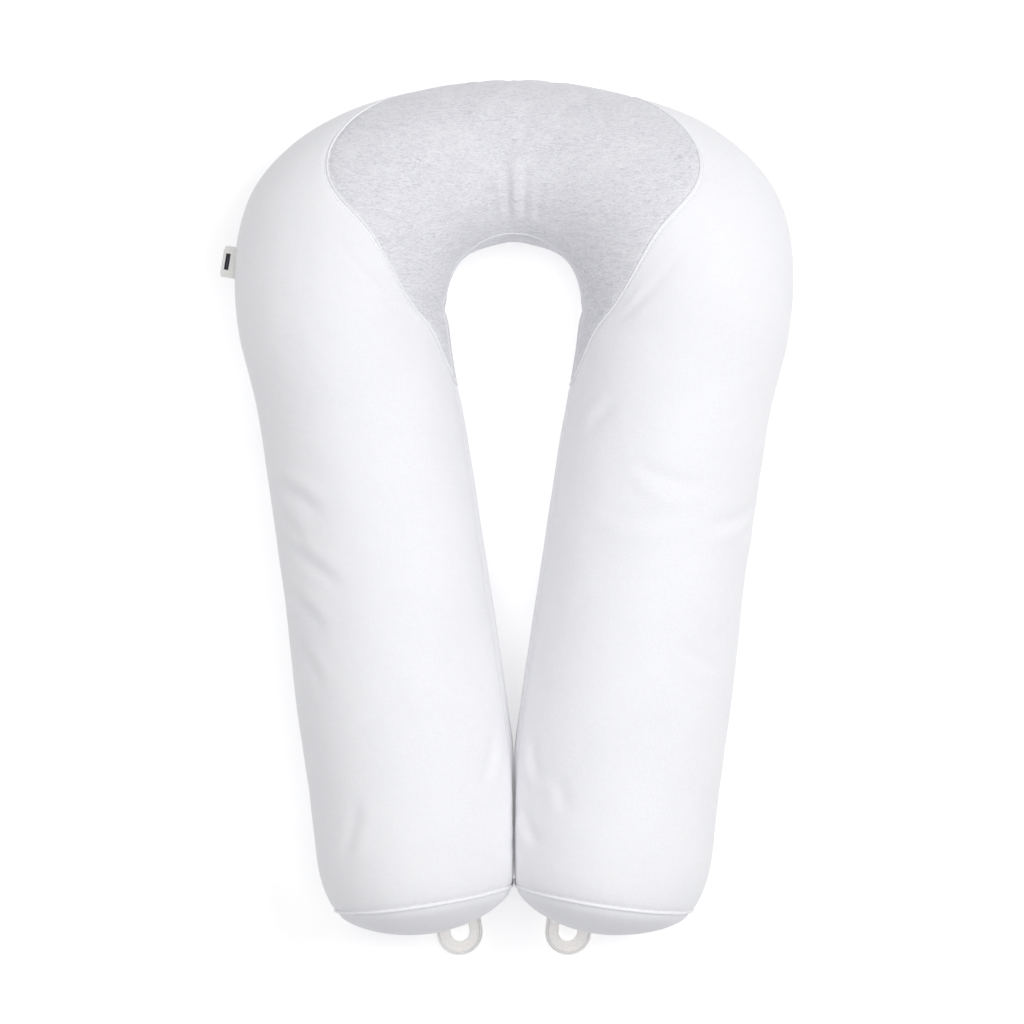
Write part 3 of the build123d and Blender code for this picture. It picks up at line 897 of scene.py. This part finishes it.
def milky_silicone():
    material = moulded("loop_silicone", (0.93, 0.91, 0.885), 0.38, grain=350)
    shader = material.node_tree.nodes["Principled BSDF"]
    shader.inputs["Subsurface Weight"].default_value = 0.35
    shader.inputs["Subsurface Scale"].default_value = 0.004
    shader.inputs["Subsurface Radius"].default_value = (1.0, 0.9, 0.8)
    shader.inputs["IOR"].default_value = 1.41
    return material


JERSEY_LIGHT = (0.80, 0.80, 0.83)
JERSEY_MIDDLE = (0.70, 0.70, 0.735)
JERSEY_DARK = (0.56, 0.56, 0.605)
COTTON = (0.90, 0.90, 0.92)
COTTON_DARK = (0.86, 0.86, 0.885)
CAP_COTTON = (0.86, 0.86, 0.89)
CAP_DARK = (0.81, 0.81, 0.845)

grey_jersey = heather_jersey()
white_cotton = woven("white_cotton", COTTON, COTTON_DARK)
cap_cotton = woven("cap_cotton", CAP_COTTON, CAP_DARK, pitch=0.0012)
white_piping = woven("white_piping", (0.92, 0.92, 0.93), (0.87, 0.87, 0.89), pitch=0.0007, rough=0.7)
liner_cloth = woven("liner_cloth", (0.85, 0.85, 0.86), (0.80, 0.80, 0.82), pitch=0.0015, uv=None)
fibre_filling = moulded("fibre_filling", (0.88, 0.88, 0.88), 0.95, grain=420)
thread = moulded("sewing_thread", (0.88, 0.88, 0.90), 0.6, grain=4000)
grey_thread = moulded("grey_thread", (0.82, 0.82, 0.85), 0.7, grain=4000)
tab_webbing = ribbed("tab_webbing", (0.85, 0.85, 0.87), (0.72, 0.72, 0.75), 0.0012)
label_ribbon = ribbed("label_ribbon", (0.86, 0.85, 0.83), (0.70, 0.69, 0.67), 0.0006, "cloth", 0.55)
care_ribbon = ribbed("care_ribbon", (0.70, 0.66, 0.63), (0.56, 0.53, 0.50), 0.0006, "cloth", 0.5)
label_dark = ribbed("label_dark", (0.015, 0.017, 0.028), (0.006, 0.007, 0.012), 0.0006, "cloth", 0.5)
zip_tape = ribbed("zip_tape", (0.86, 0.86, 0.88), (0.74, 0.74, 0.77), 0.0009)
zip_nylon = moulded("zip_nylon", (0.84, 0.84, 0.86), 0.35, grain=900)
zip_metal = moulded("zip_metal", (0.62, 0.62, 0.64), 0.28, metallic=1.0, grain=2600)
loop_silicone = milky_silicone()


def paint(obj, material):
    obj.data.materials.clear()
    obj.data.materials.append(material)
    return obj


# ---- the cover, the lined filling inside it, and its seams ----
source, panels, coarse = fine_skin()
points, quads, facts, normals = source
surface = Surface(points, quads)
quad_side = np.sign(facts[quads, 0].sum(1))
coarse_side = np.sign(coarse[2][coarse[1], 0].sum(1))
LINER_INSET = 0.0036
FILLING_INSET = 0.0050
PIPING = 0.0010
END_PIPING = 0.0014
CENTRE_STITCH, END_STITCH = 0.0042, -0.0040  # metres towards the foot from the piping
SEAM_STEPS = 90
SEAM_FOLD = (0.0011, 0.0006)


def finish_piece(piece, material, slot, side, *stands_for, bends=True):
    """Material, CAD nodes and body of one piece of the cover. The slot argument is not used."""
    paint(piece, material)
    if stands_for:
        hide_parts(*stands_for)
    if bends:
        return bend(piece)
    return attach(piece, "leg_" + side_name(side))


def cover(side):
    name = side_name(side)
    leg, cap = (LEFT, CAP_LEFT) if side > 0 else (RIGHT, CAP_RIGHT)
    sleeve = cloth_shell("cover_sleeve_" + name, source, panels == leg)
    finish_piece(sleeve, white_cotton, "white_cotton", side, "sleeve_" + name)
    centre = cloth_shell("cover_centre_" + name, source, (panels == CROWN) & (quad_side == side))
    finish_piece(centre, grey_jersey, "grey_jersey", side, "centre_panel")
    end = cloth_shell("cover_cap_" + name, source, panels == cap, facing=True)
    finish_piece(end, cap_cotton, "cap_cotton", side, "end_cap_" + name, bends=False)


def inside(side):
    name = side_name(side)
    chosen = coarse_side == side
    liner = cloth_shell("inner_liner_" + name, coarse, chosen, thick=0.0006, inset=LINER_INSET)
    finish_piece(liner, liner_cloth, "liner_cloth", side, "liner_crown", "liner_leg_" + name)
    filling = solid_piece("fibre_filling_" + name, coarse, chosen, FILLING_INSET)
    finish_piece(filling, fibre_filling, "fibre_filling", side, "filling_crown", "filling_leg_" + name)


def inner_seam_turn(s):
    """Where round the tube the inner wall's seam runs: higher in the crown's middle."""
    shift = bulge(s, 6, 0.17, 0.07) - 10 * np.exp(-((s / 0.085) ** 4))
    return LENGTHWISE_SEAM + np.radians(shift)


def seams(side):
    """Piping and topstitching where the panels meet, and the closing seam on the inner wall."""
    name = side_name(side)
    leg, cap = (LEFT, CAP_LEFT) if side > 0 else (RIGHT, CAP_RIGHT)
    for place, other, radius, bends in (("centre", CROWN, PIPING, True), ("end", cap, END_PIPING, False)):
        ring = ring_between(quads, panels, leg, other, facts)
        path = points[ring] + normals[ring] * radius * 0.7
        cord = sweep(f"piping_{place}_{name}", path, normals[ring], round_profile(radius, radius))
        keep_clear(cord, side)
        finish_piece(cord, white_piping, "white_piping", side, f"{place}_piping_{name}", bends=bends)
        back = CENTRE_STITCH if place == "centre" else END_STITCH
        run = beside(points[ring], facts, ring, back)
        row = stitches(f"topstitch_{place}_{name}", run, surface)
        keep_clear(row, side)
        finish_piece(row, thread, "white_piping", side, bends=bends)
    seam_at = slanted_seam(LENGTHWISE_SEAM)
    for part, low, high, material, slot in (
        ("crown", 0.0, seam_at, grey_thread, "grey_jersey"),
        ("leg", seam_at, END, thread, "white_cotton"),
    ):
        s = np.linspace(low, high, SEAM_STEPS) * side
        path, ups = surface.lay(tube_point(s, inner_seam_turn(np.abs(s))))
        fold = sweep(f"inner_seam_{part}_{name}", path, ups, round_profile(*SEAM_FOLD), closed=False)
        finish_piece(fold, material, slot, side)


for side in (1, -1):
    cover(side)
    inside(side)
    seams(side)


# ---- side labels ----
LABEL_TURN = math.radians(81)  # how far round the arch the labels are sewn in
LABEL_SUNK = 0.0015
RIPPLE = 2.3  # radians of the slow wave along half a label


def ribbon_fold(name, node, size, thick, wave, seed):
    """A ribbon folded in half, its fold outwards and its ends sewn into the side of the sleeve.

    size is (how far it sticks out, its width along the seam, the height of the fold). The piece
    is returned with its middle, its directions and half its sizes.
    """
    low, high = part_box(node)
    out = Vector((-math.sin(LABEL_TURN), math.cos(LABEL_TURN), 0))
    along = Vector((-math.cos(LABEL_TURN), -math.sin(LABEL_TURN), 0))
    reach, half, gap = size[0] / 2, size[1] / 2, size[2] / 2
    sewn = Vector(surface.at((low + high) / 2)[0])
    sewn.z = (low.z + high.z) / 2
    middle = sewn + out * (reach - LABEL_SUNK)
    profile = [(-reach, gap)] + [(t * reach, gap) for t in np.linspace(-0.6, 0.8, 5)]
    profile += [(reach - gap + gap * math.cos(a), gap * math.sin(a)) for a in np.linspace(1.2, -1.2, 5)]
    profile += [(t * reach, -gap) for t in np.linspace(0.8, -0.6, 5)] + [(-reach, -gap)]
    outer = np.array(profile)
    inner = outer * np.array([1, (gap - thick) / gap]) - np.array([thick, 0]) * (outer[:, :1] > 0.5 * reach)
    loop = np.concatenate([outer, inner[::-1]])
    rows = 13
    made = []
    for t in np.linspace(-1, 1, rows):
        tuck = 0.0016 * max(0.0, abs(t) - 0.8) / 0.2
        for a, z in loop:
            a = a - tuck if a > 0 else a
            lift = wave * math.sin(RIPPLE * t + seed) * smoothstep((a + reach) / (2 * reach))
            made.append(middle + out * a + along * t * half + Vector((0, 0, z + lift)))
    obj = new_mesh(name, made, tube_faces(rows, len(loop)))
    local = [obj.data.vertices[corner.vertex_index].co - middle for corner in obj.data.loops]
    put_uv(obj.data, "cloth", [(v.dot(out), v.dot(along)) for v in local])
    return obj, middle, out, along, reach, half, gap


LABEL = (0.0140, 0.030, 0.0012)
LABEL_WAVE, LABEL_SEED = 0.0006, 0.4
CARE_LABEL = (0.0122, 0.027, 0.0010)
label, *label_frame = ribbon_fold("side_label", "brand_label", LABEL, 0.00035, LABEL_WAVE, LABEL_SEED)
finish_piece(label, label_ribbon, "label_ribbon", 1, "brand_label")
care, *_ = ribbon_fold("side_care_label", "care_label", CARE_LABEL, 0.0003, 0.0008, 1.9)
finish_piece(care, care_ribbon, "care_ribbon", 1, "care_label")


def plain_patch():
    """A plain dark woven patch on the label's upper face, with nothing written on it."""
    middle, out, along, reach, half, gap = label_frame
    wide, tall, thick = 0.0042, 0.0155, 0.00018
    profile = np.array([(-wide / 2, 0), (-wide / 2, thick), (wide / 2, thick), (wide / 2, 0)])
    steps = np.linspace(-0.5, 0.5, 9)
    path = []
    for t in steps:
        lift = LABEL_WAVE * math.sin(RIPPLE * t * tall / half + LABEL_SEED) * 0.7
        path.append(middle + out * (reach * 0.30) + along * t * tall + Vector((0, 0, gap + lift)))
    return sweep("label_patch", [tuple(p) for p in path], [(0, 0, 1)] * len(path), profile, closed=False)


finish_piece(plain_patch(), label_dark, "label_ribbon", 1)


# ---- CAD pieces that stay, and what is added to them ----
for node, material in {
    "loop_tab_left": tab_webbing,
    "loop_tab_right": tab_webbing,
    "zip_tape_upper": zip_tape,
    "zip_tape_lower": zip_tape,
    "zip_stop_top": zip_metal,
    "zip_stop_bottom": zip_metal,
    "zip_slider": zip_metal,
    "zip_pull": zip_metal,
    "end_loop_left": loop_silicone,
    "end_loop_right": loop_silicone,
}.items():
    paint(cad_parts[node], material)

TEETH_STEP = 0.00125
TOOTH = (0.0026, 0.00052, 0.0005)  # its length, and half its width and height
TOOTH_SWAY = 0.00045
TOOTH_SUNK = 0.0003
ZIP_STOP = 0.003


def zip_coil():
    """The closed coil of the zipper: teeth from both tapes, one after the other."""
    s = np.arange(ZIP_MIDDLE - ZIP_HALF + ZIP_STOP, ZIP_MIDDLE + ZIP_HALF - ZIP_STOP, TEETH_STEP)
    phi = np.full(len(s), ZIP_TURN)
    place = left_point(s, phi)
    ahead = left_point(s + 0.001, phi) - place
    up_wall = left_point(s, phi + 0.02) - place
    out = np.cross(up_wall, ahead)
    out /= np.linalg.norm(out, axis=1, keepdims=True)
    up_wall /= np.linalg.norm(up_wall, axis=1, keepdims=True)
    sway = np.where(np.arange(len(s)) % 2, 1.0, -1.0)[:, None]
    places = place + up_wall * sway * TOOTH_SWAY - out * TOOTH_SUNK
    return beads("zip_coil", places, up_wall, out, *TOOTH)


coil = paint(zip_coil(), zip_nylon)
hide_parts("zip_teeth")
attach(coil, "leg_left")

LOOP_RADIUS = 0.022
LOOP_BACK = 0.017
LOOP_AHEAD = (0.1478, 0.989)  # the way the left leg points, towards the other leg and the foot
RIM_INSET = 0.0013
RIM = 0.00065


def loop_rim(side):
    """The raised bead round the upper face of an end loop, just inside its edge."""
    low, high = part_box("end_loop_" + side_name(side))
    ahead = np.array([LOOP_AHEAD[0] * side, -LOOP_AHEAD[1], 0.0])
    across = np.array([LOOP_AHEAD[1], LOOP_AHEAD[0] * side, 0.0])
    middle = np.array([(low.x + high.x) / 2, low.y + LOOP_RADIUS, high.z])
    reach = LOOP_RADIUS - RIM_INSET
    path = [middle + reach * (ahead * math.cos(a) + across * math.sin(a)) for a in np.linspace(-1.6, 1.6, 33)]
    for back, wide in ((0.4, 1.0), (0.75, 0.95), (0.95, 0.8), (1.0, 0.6)):
        path.append(middle - ahead * back * LOOP_BACK + across * reach * wide)
    for back, wide in ((1.0, 0.6), (0.95, 0.8), (0.75, 0.95), (0.4, 1.0)):
        path.append(middle - ahead * back * LOOP_BACK - across * reach * wide)
    ups = [(0, 0, 1)] * len(path)
    rim = sweep("loop_rim_" + side_name(side), path, ups, round_profile(2 * RIM, RIM, 8))
    paint(rim, loop_silicone)
    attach(rim, "loop_" + side_name(side))


for side in (1, -1):
    loop_rim(side)

# ---- camera, floor and light ----
CAMERA_AIM = (-0.0019, -0.333)
CAMERA_HEIGHT = 3.0
LENS_MM = 107.8

camera = bpy.data.objects.new("camera", bpy.data.cameras.new("camera"))
camera.data.lens = LENS_MM
camera.data.sensor_width = 36
camera.location = (*CAMERA_AIM, CAMERA_HEIGHT)
bpy.context.scene.collection.objects.link(camera)
bpy.context.scene.camera = camera

floor = new_mesh("floor", [(-30, -30, 0), (30, -30, 0), (30, 30, 0), (-30, 30, 0)], [(0, 1, 2, 3)])
floor.location.z = -0.0002
floor_material, _, shader = shade_nodes("pale_floor", 0.9)
shader.inputs["Base Color"].default_value = (0.85, 0.85, 0.85, 1)
shader.inputs["Emission Color"].default_value = (1, 1, 1, 1)
shader.inputs["Emission Strength"].default_value = 0.32
paint(floor, floor_material)


def soft_light(name, place, aim, size, power, colour=(1, 1, 1)):
    lamp = bpy.data.lights.new(name, "AREA")
    lamp.size = size
    lamp.energy = power
    lamp.color = colour
    obj = bpy.data.objects.new(name, lamp)
    obj.location = place
    obj.rotation_euler = (Vector(aim) - Vector(place)).to_track_quat("-Z", "Y").to_euler()
    bpy.context.scene.collection.objects.link(obj)


MIDDLE = (0, -0.35, 0.1)
soft_light("key", (1.8, 0.45, 2.6), MIDDLE, 1.5, 38)
soft_light("top", (0.0, -0.6, 3.4), MIDDLE, 2.0, 42)
soft_light("fill", (-1.2, 0.7, 2.9), MIDDLE, 1.5, 12)

world = bpy.data.worlds.new("studio")
bpy.context.scene.world = world
world.use_nodes = True
world.node_tree.nodes["Background"].inputs["Color"].default_value = (0.97, 0.975, 1.0, 1)
world.node_tree.nodes["Background"].inputs["Strength"].default_value = 0.31
bpy.context.scene.view_settings.view_transform = "Standard"
